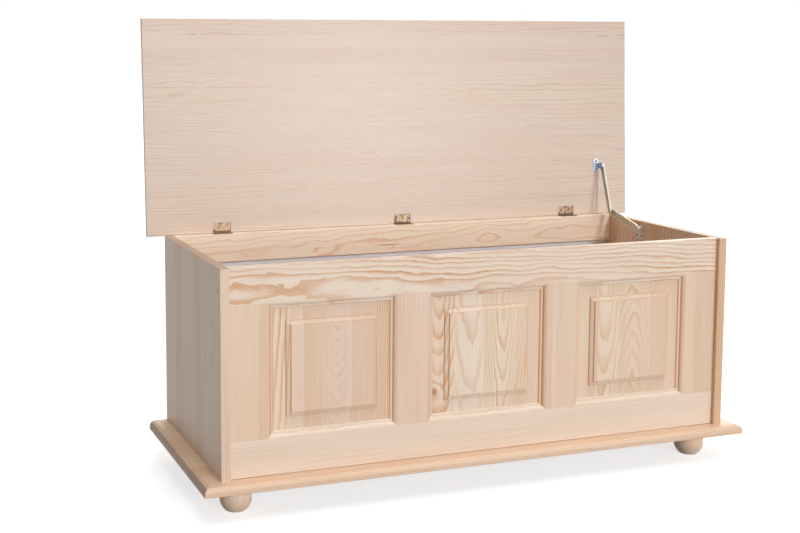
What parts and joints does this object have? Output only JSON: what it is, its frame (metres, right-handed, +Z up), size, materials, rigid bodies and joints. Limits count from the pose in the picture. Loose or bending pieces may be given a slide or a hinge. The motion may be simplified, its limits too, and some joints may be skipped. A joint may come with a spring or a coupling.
{
  "type": "blanket chest",
  "caption": "Pine blanket chest on ball feet with a raised-panel front, a hardboard back and a hinged lid held open by a folding stay.",
  "frame": {"origin": "on the floor under the middle of the chest's box with the lid open", "axes": "+X to the right seen from the front, +Y to the back, +Z up"},
  "size_m": [1.18, 0.5032, 0.9326],
  "materials": {
    "board_pine": "unfinished sanded pine, edge-glued boards",
    "frame_pine": "unfinished sanded pine",
    "turned_pine": "unfinished turned pine",
    "plug_wood": "unfinished wood",
    "hardboard": "hardboard, white inside and raw brown behind",
    "hinge_steel": "yellow passivated zinc plate",
    "zinc_steel": "bright zinc plate"
  },
  "bodies": {
    "carcass": {"base_board": "board_pine", "base_screws": "zinc_steel", "foot_studs": "zinc_steel", "front_left_foot": "turned_pine", "front_right_foot": "turned_pine", "back_left_foot": "turned_pine", "back_right_foot": "turned_pine", "left_side": "board_pine", "right_side": "board_pine", "side_plugs": "plug_wood", "side_screws": "zinc_steel", "back_rail": "board_pine", "back_panel": "hardboard", "back_panel_pins": "zinc_steel", "front_top_rail": "frame_pine", "front_bottom_rail": "frame_pine", "front_left_stile": "frame_pine", "front_left_muntin": "frame_pine", "front_right_muntin": "frame_pine", "front_right_stile": "frame_pine", "left_panel": "frame_pine", "centre_panel": "frame_pine", "right_panel": "frame_pine", "frame_dowels": "plug_wood", "left_hinge_rail_leaf": "hinge_steel", "centre_hinge_rail_leaf": "hinge_steel", "right_hinge_rail_leaf": "hinge_steel", "left_hinge_pin": "hinge_steel", "centre_hinge_pin": "hinge_steel", "right_hinge_pin": "hinge_steel", "rail_hinge_screws": "hinge_steel", "stay_side_bracket": "zinc_steel", "stay_side_screws": "zinc_steel", "stay_side_rivet": "zinc_steel"},
    "lid": {"lid_board": "board_pine", "left_hinge_lid_leaf": "hinge_steel", "centre_hinge_lid_leaf": "hinge_steel", "right_hinge_lid_leaf": "hinge_steel", "lid_hinge_screws": "hinge_steel", "stay_lid_bracket": "zinc_steel", "stay_lid_screws": "zinc_steel", "stay_lid_rivet": "zinc_steel"},
    "stay_upper_arm": {"stay_upper_arm": "zinc_steel", "stay_upper_knee_rivet": "zinc_steel"},
    "stay_lower_arm": {"stay_lower_arm": "zinc_steel", "stay_lower_knee_rivet": "zinc_steel"}
  },
  "joints": [
    {"name": "lid_hinge", "type": "hinge", "parent": "carcass", "child": "lid", "pos_m": [0, 0.21134, 0.47435], "axis": [1, 0, 0], "range_deg": [0, 93]},
    {"name": "stay_side_pivot", "type": "hinge", "parent": "carcass", "child": "stay_lower_arm", "pos_m": [0.517, 0.05934, 0.4575], "axis": [1, 0, 0], "range_deg": [-104, 0]},
    {"name": "stay_lid_pivot", "type": "hinge", "parent": "lid", "child": "stay_upper_arm", "pos_m": [0.517, 0.20013, 0.5901], "axis": [1, 0, 0], "range_deg": [-92, 0]}
  ],
  "couplings": [
    {"joint": "stay_side_pivot", "follows": "lid_hinge", "ratio": -1.1147},
    {"joint": "stay_lid_pivot", "follows": "lid_hinge", "ratio": -0.98152}
  ]
}
